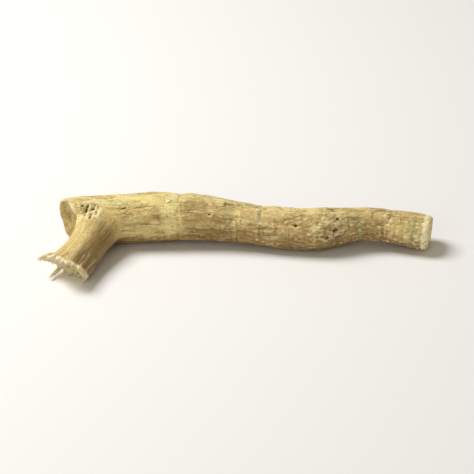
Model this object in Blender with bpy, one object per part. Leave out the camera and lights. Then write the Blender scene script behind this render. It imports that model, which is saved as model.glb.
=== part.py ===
"""A dried ashwagandha root: one crown piece that lies on a surface, with its side root torn off.

The crown is at -X and the tip, cut square, at +X. The side root forks from the crown towards -Y
and ends in torn fibres. It all grew as one piece, so it is one solid.

Sizes are in millimetres and angles in degrees. The finished mesh is scaled to metres.
"""

import math

import bmesh
import bpy
import numpy as np
from mathutils import Matrix, Vector

MM = 0.001
UP = np.array([0.0, 0.0, 1.0])
SEED = 7

# The middle line of the main root, from the crown to the tip.
MAIN_ROUTE = [
    (-54.0, 1.6, 7.4),
    (-38.0, 2.3, 6.9),
    (-24.0, 2.4, 7.6),
    (-10.0, 1.8, 7.3),
    (4.0, -0.7, 6.7),
    (18.0, -2.6, 6.2),
    (30.0, -0.6, 6.3),
    (38.0, 0.0, 6.2),
    (46.0, -1.2, 5.6),
    (54.0, -3.0, 5.2),
]
# The middle line of the side root, from inside the crown to where it tore.
SIDE_ROUTE = [
    (-42.0, 3.0, 7.0),
    (-45.2, -4.5, 6.3),
    (-48.6, -13.0, 5.1),
    (-52.6, -22.5, 4.5),
]

# Distance along the main root, and its radius there: thick at the crown, with a belly before the tip.
MAIN_RADII = [
    (0.0, 6.3),
    (4.0, 6.9),
    (14.0, 7.1),
    (26.0, 7.35),
    (34.0, 6.95),
    (42.0, 6.7),
    (50.0, 6.3),
    (58.0, 6.1),
    (68.0, 6.2),
    (74.0, 6.35),
    (80.0, 6.1),
    (86.0, 5.4),
    (92.0, 5.2),
    (98.0, 5.3),
    (104.0, 5.7),
    (109.0, 5.5),
]
SIDE_RADII = [(0.0, 5.4), (7.0, 6.6), (13.0, 6.0), (19.0, 5.8), (24.0, 6.2), (29.0, 6.4)]
SIDE_SQUASH = 0.20

MAIN_SIDES = 60
SIDE_SIDES = 40
RING_SPACING = 2.05
SIDE_SPACING = 2.0

# Furrows that shrinking left along the bark.
MAIN_FURROWS = 13
SIDE_FURROWS = 11
FURROW_DEPTH = 0.62
FURROW_HALF_WIDTH = 0.95

# Cracks across the bark: distance along, depth, middle angle and half the arc that each runs round.
# Angle 0 faces -Y and 90 faces up.
RING_CRACKS = [
    (21.0, 0.30, 205, 70),
    (33.2, 0.48, 30, 175),
    (44.5, 0.30, 215, 75),
    (52.0, 0.32, 25, 75),
    (58.5, 0.36, 60, 85),
    (70.0, 0.32, 180, 85),
    (80.0, 0.38, 15, 100),
    (88.5, 0.30, 235, 70),
    (95.5, 0.36, 0, 70),
    (102.0, 0.30, 45, 60),
]
CRACK_HALF_WIDTH = 0.62
CRACK_FADE = 25.0
CRACK_LIP = 0.35
CRACK_LIP_BACK = 1.4

# Round scars of trimmed rootlets and buds: distance along, angle, radius and height.
MAIN_SCARS = [
    (7.5, 62, 2.9, 0.80),
    (17.0, 165, 1.8, 0.50),
    (28.5, 262, 2.0, 0.45),
    (39.0, 118, 1.7, 0.45),
    (49.0, 190, 1.9, 0.50),
    (62.5, -22, 1.7, 0.40),
    (66.0, 140, 1.8, 0.45),
    (78.0, 22, 2.6, 0.50),
    (85.5, 205, 1.7, 0.45),
    (99.0, 150, 1.6, 0.40),
]
SIDE_SCARS = [(16.0, 64, 1.7, 0.45), (19.5, 196, 1.6, 0.40)]
# A scar's shape, in shares of its radius and height.
SCAR_STRETCH = 1.15
SCAR_LIP_AT = 0.75
SCAR_LIP_WIDTH = 0.42
SCAR_PIT_WIDTH = 0.55
SCAR_PIT_DEPTH = 0.8

# The crown's cut leans towards -Y. Its lean fades out along the bark, and its rim is a small step.
CROWN_SLANT = 2.6
CROWN_BLEND = 14.0
CROWN_RIM_INSET = 0.93
CROWN_RIM_STEP = 0.45
# The tip's cut is square, with a worn edge.
TIP_EDGE_INSET = 0.88
TIP_EDGE = 0.8
# The tear reaches furthest out on top, and is back on the side away from the tip.
TEAR_SLANT = 3.6
TEAR_SKEW = 1.2
TEAR_JAGS = 0.9
TEAR_BLEND = 13.0
# A flake of bark stands out from the side root where the tear is shortest.
FLAKE_ANGLE = 5.0
FLAKE_LIFT = 2.2
FLAKE_SPREAD = 19.0
CROWN_CAP_RINGS = (0.88, 0.62, 0.36, 0.24)
CAP_RINGS = (0.86, 0.60, 0.30)

# Shreds of bark and bast round the tear: angle, reach past the tear, lean outwards and round it,
# width and thickness.
SHREDS = [
    (5, 2.0, 1.6, -0.4, 3.2, 1.1),
    (-34, 4.6, 1.0, 0.3, 1.1, 0.9),
    (30, 1.0, 0.6, 0.8, 1.8, 0.9),
    (52, 2.2, 0.2, -0.5, 1.5, 0.8),
    (74, 1.1, -0.1, 0.4, 2.4, 0.9),
    (97, 2.6, 0.1, 0.6, 1.3, 0.8),
    (122, 1.3, 0.0, -0.4, 2.2, 0.9),
    (150, 2.0, 0.4, 0.5, 1.5, 0.8),
    (178, 1.2, 0.2, 0.0, 2.2, 0.9),
    (214, 2.0, 0.1, -0.6, 1.4, 0.8),
    (250, 1.0, -0.2, 0.3, 1.8, 0.8),
    (292, 1.8, -0.2, 0.0, 1.5, 0.8),
]
SHRED_RINGS_BACK = 2
SHRED_SUNK = 0.72
SHRED_BEND = 0.35
SHRED_TAPER = [(0.0, 1.0), (0.5, 0.85), (0.82, 0.42)]
SHRED_LOWEST = 0.7

FLAT_DEPTH = 0.40
CROTCH_REACH = 1.7
CROTCH_PASSES = 10

BARK = 0
FLESH = 1
BARK_COLOUR = (0.56, 0.43, 0.19, 1.0)
FLESH_COLOUR = (0.78, 0.69, 0.42, 1.0)


class Route:
    """A smooth curve through hand-placed points, read by the distance along it."""

    def __init__(self, points):
        knots = np.array(points, float)
        ends = np.vstack([2 * knots[0] - knots[1], knots, 2 * knots[-1] - knots[-2]])
        t = np.linspace(0, len(knots) - 1, 60 * (len(knots) - 1) + 1)
        first = np.minimum(t.astype(int), len(knots) - 2)
        f = (t - first)[:, None]
        p0, p1, p2, p3 = (ends[first + k] for k in range(4))
        self.line = 0.5 * (
            2 * p1
            + (p2 - p0) * f
            + (2 * p0 - 5 * p1 + 4 * p2 - p3) * f**2
            + (3 * p1 - p0 - 3 * p2 + p3) * f**3
        )
        steps = np.linalg.norm(np.diff(self.line, axis=0), axis=1)
        self.along = np.concatenate([[0.0], np.cumsum(steps)])
        self.length = self.along[-1]
        slope = np.gradient(self.line, self.along, axis=0)
        self.heading = slope / np.linalg.norm(slope, axis=1, keepdims=True)

    def read(self, table, distance):
        return np.stack([np.interp(distance, self.along, table[:, k]) for k in range(3)], -1)

    def frame(self, distance):
        """The point, the heading, and the directions of angles 0 and 90, at each distance."""
        heading = self.read(self.heading, distance)
        heading /= np.linalg.norm(heading, axis=-1, keepdims=True)
        beyond = distance - np.clip(distance, 0.0, self.length)
        point = self.read(self.line, distance) + beyond[..., None] * heading
        side = np.cross(heading, UP)
        side /= np.linalg.norm(side, axis=-1, keepdims=True)
        return point, heading, side, np.cross(side, heading)

    def surface(self, distance, angle, radius):
        point, _, side, over = self.frame(distance)
        return point + radius[..., None] * (
            np.cos(angle)[..., None] * side + np.sin(angle)[..., None] * over
        )


def angle_between(angle, middle):
    """The signed turn from middle to angle, in radians, from -pi to pi."""
    return (angle - middle + math.pi) % (2 * math.pi) - math.pi


def radius_from(table, distance):
    along, radius = zip(*table)
    return np.interp(distance, along, radius)


def section_shape(distance, angle):
    """How far the section is from round: oval, three-cornered and knobbly, turning along the root."""
    oval = 0.030 * np.cos(2 * angle + distance / 19.0)
    corners = 0.020 * np.cos(3 * angle - distance / 13.0 + 1.1)
    knobs = 0.012 * np.cos(5 * angle + distance / 4.3) * np.sin(distance / 6.1)
    return 1.0 + oval + corners + knobs


def furrow_relief(distance, angle, radius, count, draw):
    """Shrinkage furrows: each wanders round a little, and deepens and fades along the root."""
    relief = np.zeros_like(angle)
    for k in range(count):
        middle = 2 * math.pi * (k + draw.uniform(-0.28, 0.28)) / count
        sway = draw.uniform(0.10, 0.24) * np.sin(
            distance / draw.uniform(9, 17) + draw.uniform(0, 6.28)
        )
        fade = np.clip(
            0.70 + 0.55 * np.sin(distance / draw.uniform(4, 9) + draw.uniform(0, 6.28)), 0.2, 1.0
        )
        across = angle_between(angle, middle + sway) * radius
        depth = FURROW_DEPTH * draw.uniform(0.5, 1.15)
        relief -= depth * fade * np.exp(-((across / FURROW_HALF_WIDTH) ** 2))
    return relief + 0.3 * FURROW_DEPTH


def crack_relief(distance, angle):
    """Cracks across the bark: a groove with fading ends, and a low lip on its crown side."""
    relief = np.zeros_like(angle)
    for place, depth, middle, half_arc in RING_CRACKS:
        turn = np.degrees(np.abs(angle_between(angle, math.radians(middle))))
        fade = np.clip((half_arc - turn) / CRACK_FADE, 0.0, 1.0)
        along = distance - place - 0.18 * np.sin(3 * angle + place)
        groove = np.exp(-((along / CRACK_HALF_WIDTH) ** 2))
        lip = CRACK_LIP * np.exp(-((along + CRACK_LIP_BACK) ** 2))
        relief += depth * fade * (lip - groove)
    return relief


def scar_relief(distance, angle, radius, scars):
    """Round scars: a raised lip about a shallow pit."""
    relief = np.zeros_like(angle)
    for place, middle, size, height in scars:
        across = angle_between(angle, math.radians(middle)) * radius
        away = np.hypot((distance - place) / SCAR_STRETCH, across) / size
        lip = np.exp(-(((away - SCAR_LIP_AT) / SCAR_LIP_WIDTH) ** 2))
        pit = np.exp(-((away / SCAR_PIT_WIDTH) ** 2))
        relief += height * (lip - SCAR_PIT_DEPTH * pit)
    return relief


def main_radius(distance, angle, draw):
    base = radius_from(MAIN_RADII, distance) * section_shape(distance, angle)
    return (
        base
        + furrow_relief(distance, angle, base, MAIN_FURROWS, draw)
        + crack_relief(distance, angle)
        + scar_relief(distance, angle, base, MAIN_SCARS)
    )


def side_radius(distance, angle, length, draw):
    """The side root's radius: it is lower than it is wide towards the tear."""
    squash = SIDE_SQUASH * (distance / length) * np.sin(angle) ** 2
    base = radius_from(SIDE_RADII, distance) * section_shape(distance + 40.0, angle) * (1 - squash)
    return (
        base
        + furrow_relief(distance, angle, base, SIDE_FURROWS, draw)
        + scar_relief(distance, angle, base, SIDE_SCARS)
    )


def main_stations(length):
    """Even rings, with three close ones at each crack."""
    even = np.linspace(0.0, length, round(length / RING_SPACING) + 1)
    cracks = [place for place, *_ in RING_CRACKS]
    kept = [s for s in even if min(abs(s - c) for c in cracks) > 0.75 * RING_SPACING]
    close = [c + step for c in cracks for step in (-CRACK_HALF_WIDTH, 0.0, CRACK_HALF_WIDTH)]
    return np.array(sorted(kept + close))


def crown_cut(angle):
    """How far the crown's cut stands back: most on the side that faces -Y."""
    return CROWN_SLANT * np.cos(angle) + 0.35 * np.sin(2 * angle)


def torn_edge(angle):
    """How far out the tear reaches, with jags round it."""
    lean = TEAR_SLANT * np.sin(angle) - TEAR_SKEW * np.cos(angle)
    return lean + TEAR_JAGS * np.sin(7 * angle + 0.6) * np.sin(3 * angle + 1.9)


def crown_hollow(fraction, angle, draw):
    """The crown's face: a sunken ring of old stem wood about a soft, hollow pith."""
    rough = fraction * (0.20 * np.sin(5 * angle + 7 * fraction) + 0.14 * np.sin(9 * angle))
    pith = 0.9 if fraction < 0.3 else 0.0
    return 0.9 * (1 - fraction) + pith + rough + draw.uniform(-0.08, 0.08, len(angle))


def tip_hollow(fraction, angle, draw):
    """The tip's cut face: nearly flat, with the core standing slightly lower."""
    return 0.25 * (1 - fraction) + draw.uniform(-0.05, 0.05, len(angle))


def torn_hollow(fraction, angle, draw):
    """The torn face: fibres of uneven length about a deeper middle."""
    return 2.2 * (1 - fraction) ** 0.8 + draw.uniform(-0.55, 0.55, len(angle))


def level_cap(fraction, angle, draw):
    """A plain cap, for the end of the side root that is buried in the crown."""
    return np.zeros_like(angle)


def add_loop(mesh, points):
    return [mesh.verts.new(p) for p in points]


def bridge(mesh, lower, upper, material=BARK):
    """Quads between two loops of the same count. They face out where the loops turn as a root's do."""
    count = len(lower)
    for k in range(count):
        n = (k + 1) % count
        face = mesh.faces.new((lower[n], lower[k], upper[k], upper[n]))
        face.material_index = material


def add_cap(mesh, rim, hollow, direction, fractions, draw):
    """Closes a loop with smaller, rounder loops and a middle point, sunk from the way that it faces."""
    points = np.array([v.co for v in rim])
    middle = points.mean(axis=0)
    spokes = points - middle
    reach = np.linalg.norm(spokes, axis=1, keepdims=True)
    even = spokes / reach * reach.mean()
    turned = np.cross(points[0] - middle, points[len(rim) // 4] - middle) @ direction > 0
    angles = 2 * math.pi * np.arange(len(rim)) / len(rim)
    outer = rim
    for fraction in fractions:
        depth = hollow(fraction, angles, draw)[:, None] * direction
        shape = fraction * spokes + (1 - fraction) * even
        inner = add_loop(mesh, middle + fraction * shape - depth)
        bridge(mesh, *((inner, outer) if turned else (outer, inner)), FLESH)
        outer = inner
    tip = mesh.verts.new(middle - hollow(0.0, angles[:1], draw)[0] * direction)
    for k, corner in enumerate(outer):
        after = outer[(k + 1) % len(outer)]
        face = mesh.faces.new((corner, after, tip) if turned else (after, corner, tip))
        face.material_index = FLESH


def main_root(route, draw):
    """The main root as one closed mesh: rings along the route, with both cut ends."""
    mesh = bmesh.new()
    angle = 2 * math.pi * np.arange(MAIN_SIDES) / MAIN_SIDES
    distance, turn = np.meshgrid(main_stations(route.length), angle, indexing="ij")
    radius = main_radius(distance, turn, draw)
    near_crown = np.clip(1 - distance / CROWN_BLEND, 0.0, 1.0) ** 1.5
    placed = route.surface(distance + near_crown * crown_cut(turn), turn, radius)
    loops = [add_loop(mesh, ring) for ring in placed]
    for lower, upper in zip(loops, loops[1:]):
        bridge(mesh, lower, upper)

    tip_point, tip_heading, _, _ = (value[0] for value in route.frame(np.array([route.length])))
    worn = tip_point + (placed[-1] - tip_point) * TIP_EDGE_INSET + TIP_EDGE * tip_heading
    tip_rim = add_loop(mesh, worn)
    bridge(mesh, loops[-1], tip_rim)
    add_cap(mesh, tip_rim, tip_hollow, tip_heading, CAP_RINGS, draw)

    crown_heading = route.frame(np.array([0.0]))[1][0]
    middle = placed[0].mean(axis=0)
    step = middle + (placed[0] - middle) * CROWN_RIM_INSET - CROWN_RIM_STEP * crown_heading
    crown_rim = add_loop(mesh, step)
    bridge(mesh, crown_rim, loops[0])
    add_cap(mesh, crown_rim, crown_hollow, -crown_heading, CROWN_CAP_RINGS, draw)
    return mesh


def side_root(route, draw):
    """The side root as one closed mesh, from inside the crown to the torn end."""
    mesh = bmesh.new()
    angle = 2 * math.pi * np.arange(SIDE_SIDES) / SIDE_SIDES
    stations = np.linspace(0.0, route.length, round(route.length / SIDE_SPACING) + 1)
    distance, turn = np.meshgrid(stations, angle, indexing="ij")
    radius = side_radius(distance, turn, route.length, draw)
    near_tear = np.clip(1 - (route.length - distance) / TEAR_BLEND, 0.0, 1.0)
    from_flake = np.degrees(angle_between(turn, math.radians(FLAKE_ANGLE)))
    radius += FLAKE_LIFT * near_tear**3 * np.exp(-((from_flake / FLAKE_SPREAD) ** 2))
    placed = route.surface(distance + near_tear**1.5 * torn_edge(turn), turn, radius)
    loops = [add_loop(mesh, ring) for ring in placed]
    for lower, upper in zip(loops, loops[1:]):
        bridge(mesh, lower, upper)
    heading = route.frame(np.array([route.length]))[1][0]
    add_cap(mesh, loops[-1], torn_hollow, heading, CAP_RINGS, draw)
    add_cap(mesh, loops[0], level_cap, -route.frame(np.array([0.0]))[1][0], (0.5,), draw)
    return mesh, placed


def shred(start, tip, outward, width, thickness):
    """A ragged blade of bark: bent a little, and drawn out to a point."""
    way = tip - start
    across = np.cross(outward, way)
    across /= np.linalg.norm(across)
    over = np.cross(way, across)
    over /= np.linalg.norm(over)
    mesh = bmesh.new()
    loops = []
    for share, taper in SHRED_TAPER:
        middle = start + share * way + SHRED_BEND * math.sin(math.pi * share) * over
        wide = 0.5 * width * taper * across
        thick = 0.5 * thickness * (0.5 + 0.5 * taper) * over
        corners = [middle - wide + thick, middle + wide + thick, middle + wide - thick, middle - wide - thick]
        loops.append(add_loop(mesh, corners))
    for lower, upper in zip(loops, loops[1:]):
        bridge(mesh, lower, upper)
    point = mesh.verts.new(tip)
    for k, vertex in enumerate(loops[-1]):
        mesh.faces.new((loops[-1][(k + 1) % 4], vertex, point))
    mesh.faces.new(loops[0])
    return mesh


def shreds(route, rings):
    """Every shred: rooted under the bark behind the tear, it comes out along the torn edge."""
    heading = route.frame(np.array([route.length]))[1][0]
    torn, behind = rings[-1], rings[-1 - SHRED_RINGS_BACK]
    made = []
    for angle, reach, lean, sideways, width, thickness in SHREDS:
        place = round(angle / 360 * SIDE_SIDES) % SIDE_SIDES
        outward = torn[place] - torn.mean(axis=0)
        outward -= (outward @ heading) * heading
        outward /= np.linalg.norm(outward)
        start = behind.mean(axis=0) + (behind[place] - behind.mean(axis=0)) * SHRED_SUNK
        tip = torn[place] + reach * heading + lean * outward + sideways * np.cross(heading, outward)
        tip[2] = max(tip[2], SHRED_LOWEST)
        made.append(shred(start, tip, outward, width, thickness))
    return made


def as_object(name, mesh, collection, materials):
    data = bpy.data.meshes.new(name)
    mesh.to_mesh(data)
    mesh.free()
    for material in materials:
        data.materials.append(material)
    made = bpy.data.objects.new(name, data)
    collection.objects.link(made)
    return made


def fuse(body, pieces):
    """Joins the pieces to the body in one Boolean union, and removes them."""
    modifier = body.modifiers.new("fuse", "BOOLEAN")
    modifier.operation = "UNION"
    modifier.solver = "EXACT"
    modifier.operand_type = "COLLECTION"
    modifier.collection = pieces
    graph = bpy.context.evaluated_depsgraph_get()
    fused = bpy.data.meshes.new_from_object(body.evaluated_get(graph))
    body.modifiers.remove(modifier)
    body.data = fused
    for piece in list(pieces.objects):
        bpy.data.objects.remove(piece)
    bpy.data.collections.remove(pieces)


def gap_to(route, table, point):
    """How far a point is from the plain skin of a root."""
    away = np.linalg.norm(route.line - point, axis=1)
    nearest = int(away.argmin())
    return abs(away[nearest] - radius_from(table, route.along[nearest]))


def soften_crotch(mesh, main, side):
    """Rounds the crease where the side root leaves the crown, as bark that grew round a fork."""
    near = [
        v
        for v in mesh.verts
        if gap_to(main, MAIN_RADII, np.array(v.co)) < CROTCH_REACH
        and gap_to(side, SIDE_RADII, np.array(v.co)) < CROTCH_REACH
    ]
    for _ in range(CROTCH_PASSES):
        bmesh.ops.smooth_vert(
            mesh, verts=near, factor=0.5, use_axis_x=True, use_axis_y=True, use_axis_z=True
        )


def flatten_underside(mesh):
    """Cuts the low bellies off flat where the root lies on the surface."""
    lowest = min(v.co.z for v in mesh.verts)
    level = lowest + FLAT_DEPTH
    cut = bmesh.ops.bisect_plane(
        mesh,
        geom=mesh.verts[:] + mesh.edges[:] + mesh.faces[:],
        dist=1e-5,
        plane_co=(0, 0, level),
        plane_no=(0, 0, -1),
        clear_outer=True,
    )
    rims = [g for g in cut["geom_cut"] if isinstance(g, bmesh.types.BMEdge)]
    bmesh.ops.holes_fill(mesh, edges=rims, sides=0)
    for v in mesh.verts:
        if abs(v.co.z - level) < 1e-4:
            v.co.z = level


def settle(mesh):
    """Moves the mesh so that the origin is at the middle of its box's underside, in metres."""
    points = np.array([v.co for v in mesh.verts])
    low, high = points.min(axis=0), points.max(axis=0)
    middle = Vector(((low[0] + high[0]) / 2, (low[1] + high[1]) / 2, low[2]))
    bmesh.ops.translate(mesh, verts=mesh.verts, vec=-middle)
    bmesh.ops.transform(mesh, verts=mesh.verts, matrix=Matrix.Scale(MM, 4))


def plain_material(name, colour, roughness):
    material = bpy.data.materials.new(name)
    material.use_nodes = True
    shader = material.node_tree.nodes["Principled BSDF"]
    shader.inputs["Base Color"].default_value = colour
    shader.inputs["Roughness"].default_value = roughness
    shader.inputs["Metallic"].default_value = 0.0
    return material


def main():
    for old in list(bpy.data.objects):
        bpy.data.objects.remove(old)
    draw = np.random.default_rng(SEED)
    main_route = Route(MAIN_ROUTE)
    side_route = Route(SIDE_ROUTE)
    materials = [
        plain_material("dried_bark", BARK_COLOUR, 0.85),
        plain_material("cut_flesh", FLESH_COLOUR, 0.90),
    ]

    scene = bpy.context.scene.collection
    root = as_object("ashwagandha_root", main_root(main_route, draw), scene, materials)
    pieces = bpy.data.collections.new("pieces_to_fuse")
    scene.children.link(pieces)
    side, side_rings = side_root(side_route, draw)
    as_object("side_root", side, pieces, materials)
    for number, blade in enumerate(shreds(side_route, side_rings)):
        as_object(f"shred_{number}", blade, pieces, materials)
    fuse(root, pieces)

    mesh = bmesh.new()
    mesh.from_mesh(root.data)
    soften_crotch(mesh, main_route, side_route)
    flatten_underside(mesh)
    bmesh.ops.triangulate(mesh, faces=mesh.faces)
    settle(mesh)
    mesh.to_mesh(root.data)
    mesh.free()
    root.data.shade_smooth()
    root.data.set_sharp_from_angle(angle=math.radians(40))


main()
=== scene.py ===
"""The looks of a dried ashwagandha root: its wrinkled bark, its cut ends and its torn side root.

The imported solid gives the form. A fine skin is grown over it, relief is worked into that skin in the
root's own directions, fibres stand out of the tear, and flakes lift beside the cracks.
"""

import itertools
import math

import bpy
import numpy as np
from mathutils import Matrix, Vector
from mathutils.bvhtree import BVHTree


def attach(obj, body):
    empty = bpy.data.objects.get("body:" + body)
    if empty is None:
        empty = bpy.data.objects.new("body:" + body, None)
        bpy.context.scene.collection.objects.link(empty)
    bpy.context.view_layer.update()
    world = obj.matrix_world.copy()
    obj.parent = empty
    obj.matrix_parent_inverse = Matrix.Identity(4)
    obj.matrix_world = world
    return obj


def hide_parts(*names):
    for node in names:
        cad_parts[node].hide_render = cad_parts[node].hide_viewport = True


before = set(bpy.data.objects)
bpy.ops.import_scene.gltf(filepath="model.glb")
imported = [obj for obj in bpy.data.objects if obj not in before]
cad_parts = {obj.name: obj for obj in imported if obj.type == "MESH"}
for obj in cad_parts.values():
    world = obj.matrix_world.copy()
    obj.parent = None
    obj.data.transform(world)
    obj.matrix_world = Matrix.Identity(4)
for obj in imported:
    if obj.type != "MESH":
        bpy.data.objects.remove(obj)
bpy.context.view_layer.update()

bl_info = {
    "name": "Dried ashwagandha root",
    "version": (1, 0, 0),
    "blender": (4, 5, 0),
    "location": "View3D > Sidebar > Dried root",
    "description": "Grows the bark, the cut ends and the torn fibres of a dried root over its solid",
    "category": "Mesh",
}

NODE = "ashwagandha_root"
BODY = "root"
MM = 0.001
SEED = 23

# The solid's own drawing, in millimetres: the middle lines of both roots, from the crown end, and
# their radii along them. SETTLED is how far the finished solid was moved to stand over its origin.
SETTLED = np.array([3.208, 9.422, 0.073])
MAIN_ROUTE = [
    (-54.0, 1.6, 7.4), (-38.0, 2.3, 6.9), (-24.0, 2.4, 7.6), (-10.0, 1.8, 7.3), (4.0, -0.7, 6.7),
    (18.0, -2.6, 6.2), (30.0, -0.6, 6.3), (38.0, 0.0, 6.2), (46.0, -1.2, 5.6), (54.0, -3.0, 5.2),
]
SIDE_ROUTE = [(-42.0, 3.0, 7.0), (-45.2, -4.5, 6.3), (-48.6, -13.0, 5.1), (-52.6, -22.5, 4.5)]
MAIN_RADII = [
    (0.0, 6.3), (4.0, 6.9), (14.0, 7.1), (26.0, 7.35), (34.0, 6.95), (42.0, 6.7), (50.0, 6.3),
    (58.0, 6.1), (68.0, 6.2), (74.0, 6.35), (80.0, 6.1), (86.0, 5.4), (92.0, 5.2), (98.0, 5.3),
    (104.0, 5.7), (109.0, 5.5),
]
SIDE_RADII = [(0.0, 5.4), (7.0, 6.6), (13.0, 6.0), (19.0, 5.8), (24.0, 6.2), (29.0, 6.4)]
# The side root is flattened by this share at its tear. The crown's edge leans by its slant, and the
# tear's edge by its slant upwards and its skew sideways.
SIDE_SQUASH = 0.20
CROWN_SLANT = 2.6
TEAR_SLANT = 3.6
TEAR_SKEW = 1.2

# The solid is evened out no nearer than this to the crown's end, the tip's end and the tear, in mm.
CROWN_MARGIN = 4.0
TIP_MARGIN = 1.5
TEAR_MARGIN = 4.0
MARGIN_FADE = 3.0
# From where to where the smooth bark of the crown half turns to the wrinkled, duller bark of the tip.
WRINKLED_FROM = (30.0, 62.0)
DULLER_FROM = (28.0, 46.0)
# How far the chalky worn rim reaches back from the tip's end.
CHALK_REACH = 1.3
# Angles round the side root of its dark side and its lit side, where shade and light are painted into its
# colour.
SIDE_DARK = 160
SIDE_LIT = 45

# Cracks across the bark: distance along, depth, middle angle and half the arc, in mm and degrees.
# Angle 0 faces -Y and 90 faces up. The first ten lie on the solid's own.
RING_CRACKS = [
    (21.0, 0.14, 205, 70), (33.2, 0.12, 30, 175), (44.5, 0.14, 215, 75), (52.0, 0.14, 25, 75),
    (58.5, 0.13, 60, 85), (70.0, 0.16, 180, 85), (80.0, 0.14, 15, 100), (88.5, 0.14, 235, 70),
    (95.5, 0.16, 0, 70), (102.0, 0.13, 45, 60), (13.5, 0.10, 120, 45), (29.4, 0.08, 55, 60),
    (40.0, 0.10, 300, 60), (47.3, 0.12, 60, 45), (63.5, 0.16, 5, 50), (67.2, 0.14, 75, 55),
    (74.6, 0.18, 40, 45), (84.2, 0.18, 30, 70), (91.8, 0.15, 70, 60), (97.2, 0.17, 40, 85),
    (99.6, 0.14, 0, 45), (105.2, 0.14, 20, 60),
]
CRACK_HALF_WIDTH = 0.30
CRACK_FADE = 28.0
# Where the bark is smooth and its crack faint: the middle and half the width of the band, in mm.
SMOOTH_BAND = (32.0, 2.6)

# Pits where buds were broken off and small roots dropped off: distance along, angle, half length,
# half width, slant and depth. The first seven are the bud scar on the crown.
PITS = [
    (5.4, 54, 1.25, 0.36, 60, 0.90), (7.4, 54, 1.15, 0.38, 46, 0.90),
    (6.6, 36, 1.05, 0.36, 55, 0.80), (8.9, 61, 0.60, 0.26, 65, 0.45),
    (4.1, 66, 0.60, 0.28, 40, 0.40), (8.4, 42, 0.60, 0.25, 60, 0.45),
    (5.0, 40, 0.60, 0.28, 35, 0.40), (17.0, 58, 0.75, 0.22, 8, 0.30),
    (69.0, 38, 0.55, 0.45, 0, 0.50), (79.3, 19, 0.75, 0.60, 35, 0.70),
    (77.0, 2, 0.55, 0.40, 60, 0.40), (80.6, 52, 0.45, 0.35, 0, 0.35),
    (43.0, 40, 0.45, 0.32, 0, 0.25), (26.0, 225, 0.60, 0.45, 20, 0.40),
    (54.0, 250, 0.55, 0.45, 60, 0.40), (73.0, 172, 0.60, 0.40, 40, 0.45),
    (93.0, 130, 0.50, 0.40, 10, 0.35),
]

# Patches of warts: distance along, angle, how far they spread along and round, and how many.
WART_PATCHES = [
    (78.0, 35, 5.0, 38, 46), (7.6, 42, 2.8, 20, 30), (96.0, 20, 7.0, 60, 22),
    (60.0, 60, 9.0, 70, 20), (45.0, 200, 14.0, 60, 24), (90.0, 200, 12.0, 60, 24),
    (20.0, 130, 8.0, 60, 14), (107.0, -15, 1.2, 60, 16),
]

# Patches of other colours: distance along, angle, reach along, half the arc, and strength.
# The pale patches along the top, at 84 to 88 degrees, are a painted highlight.
PALE_AND_HIGHLIGHT_PATCHES = [
    (15.0, 84, 17.0, 24, 0.9), (31.0, 45, 3.0, 90, 1.0), (51.6, 40, 1.0, 70, 0.7),
    (40.0, 88, 14.0, 20, 0.7), (74.0, 88, 16.0, 20, 0.6), (4.0, 40, 3.5, 26, 0.7),
    (91.0, 3, 1.0, 12, 0.8), (50.0, 190, 12.0, 30, 0.6), (92.0, 170, 9.0, 26, 0.6),
]
DUSK_PATCHES = [
    (38.5, 40, 5.0, 75, 0.80), (6.8, 46, 2.8, 20, 0.55), (46.5, 20, 4.0, 45, 0.6),
    (68.0, 30, 7.0, 40, 0.45), (89.0, 35, 7.0, 60, 0.55), (98.5, 20, 5.0, 50, 0.45),
    (79.0, 15, 4.5, 35, 0.7), (20.0, 25, 9.0, 20, 0.5), (58.0, 0, 6.0, 25, 0.6),
    (94.5, 30, 3.0, 50, 0.5), (25.0, 200, 9.0, 40, 0.6), (66.0, 215, 10.0, 40, 0.7),
    (84.0, 140, 5.0, 40, 0.6),
]
DUST_PATCHES = [
    (48.6, 45, 2.0, 60, 0.9), (58.0, 45, 1.4, 50, 0.7), (87.2, 40, 2.0, 60, 0.9),
    (104.6, 38, 2.3, 42, 0.9), (7.0, 50, 4.2, 26, 0.75), (15.0, 66, 4.0, 16, 0.4),
    (33.0, 150, 6.0, 30, 0.6), (72.0, 235, 5.0, 35, 0.6), (100.0, 220, 4.0, 50, 0.6),
]
FLAKED_PATCHES = [
    (63.5, 28, 3.6, 16, 1.0), (54.6, 50, 2.2, 14, 0.8), (70.5, 8, 2.6, 12, 0.8),
    (98.0, 60, 2.4, 16, 0.7), (14.0, 210, 5.0, 18, 0.8), (56.0, 160, 5.0, 16, 0.8),
    (82.0, 245, 5.0, 20, 0.8),
]

# Strands of inner bark that stand out of the tear: how many, the sides and steps of each, how far out
# they root, their lengths, how much longer the longest are, their thicknesses, and how high over the
# floor they end at least.
STRANDS = 64
STRAND_SIDES = 5
STRAND_STEPS = 5
STRANDS_REACH = 5.9
STRAND_LENGTHS = (1.4, 2.6)
STRAND_EXTRA = 1.4
STRAND_WIDTHS = (0.16, 0.36)
STRAND_CLEARANCE = 0.5
# The thick splinter: its angle round the side root, how far out and how deep it roots, how far it runs
# on and outwards, and its thickness.
SPLINTER_ANGLE = -34
SPLINTER_REACH = 5.5
SPLINTER_SUNK = 1.5
SPLINTER_RUN = (6.4, 1.3)
SPLINTER_WIDTH = 1.15

# Thin flakes of bark that have lifted beside the ring cracks, from FLAKES_FROM along and no lower than
# FLAKES_OVER. Sizes are the least and most length, width and lift. CHIP is the pale one near the crown:
# its distance along, angle, facing, length, width and lift.
FLAKES_FROM = 16.0
FLAKES_OVER = 1.5
FLAKES_AT_EACH = 2
FLAKE_SHAPES = 4
FLAKE_SIZES = ((0.5, 0.8, 0.5), (1.1, 1.8, 1.0))
FLAKE_THICKNESS = 0.08
CHIP = (30.2, 77, 1, 1.3, 1.9, 1.0)
# A ray that looks for the bark starts this far out from the root's middle line.
RAY_START = 12.0

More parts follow.
